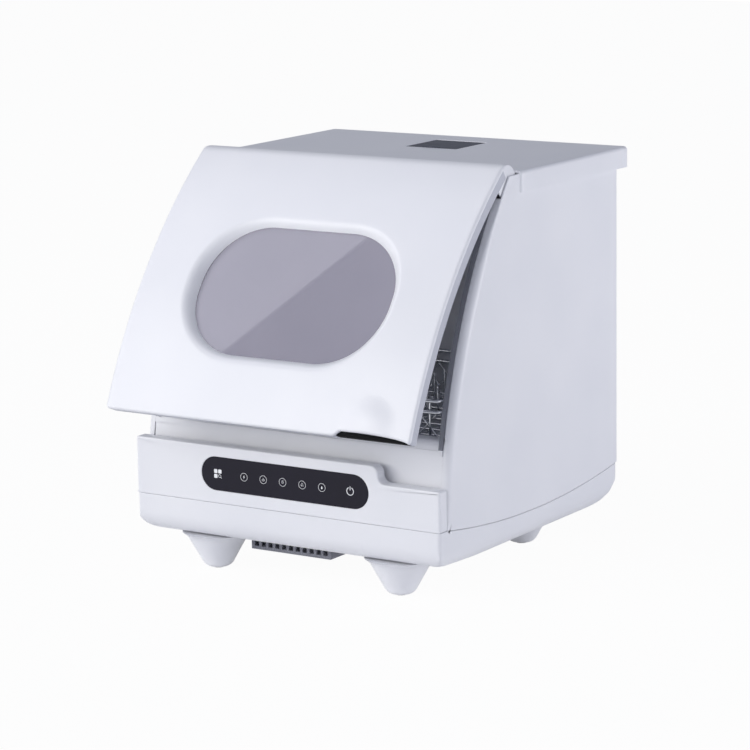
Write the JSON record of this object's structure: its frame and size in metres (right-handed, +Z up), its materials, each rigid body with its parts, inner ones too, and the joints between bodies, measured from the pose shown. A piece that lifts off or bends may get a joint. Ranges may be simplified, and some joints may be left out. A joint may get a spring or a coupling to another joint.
{
  "type": "countertop dishwasher",
  "caption": "Free-standing countertop dishwasher with a bowed, window-fronted lid that swings upward, a wire basket, a touch panel and a water hatch in the top.",
  "frame": {"origin": "on the table, under the centre of the bounding box of the machine as it rests with its lid ajar", "axes": "+X to the right across the front, +Y from the front to the back, +Z up"},
  "size_m": [0.426, 0.5032, 0.4874],
  "materials": {
    "gloss_white": "moulded, high gloss",
    "black_panel": "smooth tinted film, high gloss",
    "white_ink": "printed",
    "smoky_hatch": "smoky, high gloss",
    "dark_plastic": "fine moulded grain",
    "grey_plastic": "satin moulded",
    "pale_plastic": "satin moulded",
    "blue_plastic": "satin moulded",
    "orange_float": "satin moulded",
    "green_board": "solder-masked board",
    "steel": "satin",
    "polished_wire": "polished stainless wire",
    "brass_pins": "bright",
    "rubber": "matt moulded",
    "grey_trim": "satin moulded",
    "smoky_window": "tinted, clear"
  },
  "bodies": {
    "cabinet": {"base_pan": "gloss_white", "foot_front_left": "gloss_white", "foot_front_right": "gloss_white", "foot_rear_left": "gloss_white", "foot_rear_right": "gloss_white", "side_panel_left": "gloss_white", "side_panel_right": "gloss_white", "rear_cover": "gloss_white", "top_cover": "gloss_white", "front_panel": "gloss_white", "front_sill": "gloss_white", "touch_panel": "black_panel", "touch_marks": "white_ink", "vent_guard": "dark_plastic", "fan_housing": "dark_plastic", "reed_switch": "dark_plastic", "power_inlet": "dark_plastic", "drain_pump": "dark_plastic", "spray_nut": "dark_plastic", "tub": "grey_plastic", "sump": "grey_plastic", "fan_duct": "grey_plastic", "float_guide": "grey_plastic", "spray_post": "grey_plastic", "basket_rails": "grey_plastic", "fill_funnel": "grey_plastic", "water_tank": "pale_plastic", "drain_hose": "pale_plastic", "wash_pump_casing": "pale_plastic", "fill_valve": "blue_plastic", "control_board": "green_board", "power_board": "green_board", "hatch_pin": "steel", "filter_plate": "steel", "heater": "steel", "wash_motor": "steel", "hinge_bracket_left": "steel", "hinge_bracket_right": "steel", "hinge_pins": "steel", "rear_screws": "steel", "basket_rim": "polished_wire", "basket_floor": "polished_wire", "basket_sides": "polished_wire", "plate_tines": "polished_wire", "inlet_pins": "brass_pins", "foot_pads": "rubber", "hinge_washers": "rubber", "tub_gasket": "grey_trim"},
    "lid": {"lid_outer": "gloss_white", "lid_liner": "grey_plastic", "lid_window": "smoky_window", "window_seal": "grey_trim", "lid_magnet": "steel"},
    "hatch": {"fill_hatch": "smoky_hatch"},
    "filter": {"filter_cup": "grey_plastic"},
    "spray": {"spray_arm": "pale_plastic"},
    "wash_wheel": {"wash_impeller": "blue_plastic"},
    "drain_wheel": {"drain_impeller": "blue_plastic"},
    "fan": {"fan_rotor": "dark_plastic"},
    "float": {"float": "orange_float"}
  },
  "joints": [
    {"name": "lid_hinge", "type": "hinge", "parent": "cabinet", "child": "lid", "pos_m": [0, -0.03271, 0.466], "axis": [-1, 0, 0], "range_deg": [-13, 65]},
    {"name": "hatch_hinge", "type": "hinge", "parent": "cabinet", "child": "hatch", "pos_m": [0.006, 0.20079, 0.4745], "axis": [-1, 0, 0], "range_deg": [0, 100]},
    {"name": "spray_spin", "type": "hinge", "parent": "cabinet", "child": "spray", "pos_m": [0, 0.00379, 0.152], "axis": [0, 0, 1], "continuous": true},
    {"name": "filter_twist", "type": "hinge", "parent": "cabinet", "child": "filter", "pos_m": [0.034, 0.00379, 0.137], "axis": [0, 0, 1], "range_deg": [0, 45]},
    {"name": "wash_spin", "type": "hinge", "parent": "cabinet", "child": "wash_wheel", "pos_m": [0.09, 0.00379, 0.096], "axis": [1, 0, 0], "continuous": true},
    {"name": "drain_spin", "type": "hinge", "parent": "cabinet", "child": "drain_wheel", "pos_m": [-0.1, 0.00379, 0.099], "axis": [1, 0, 0], "continuous": true},
    {"name": "fan_spin", "type": "hinge", "parent": "cabinet", "child": "fan", "pos_m": [0.143, 0.20429, 0.396], "axis": [0, 1, 0], "continuous": true},
    {"name": "float_lift", "type": "slide", "parent": "cabinet", "child": "float", "axis": [0, 0, 1], "range_m": [0, 0.006]}
  ]
}
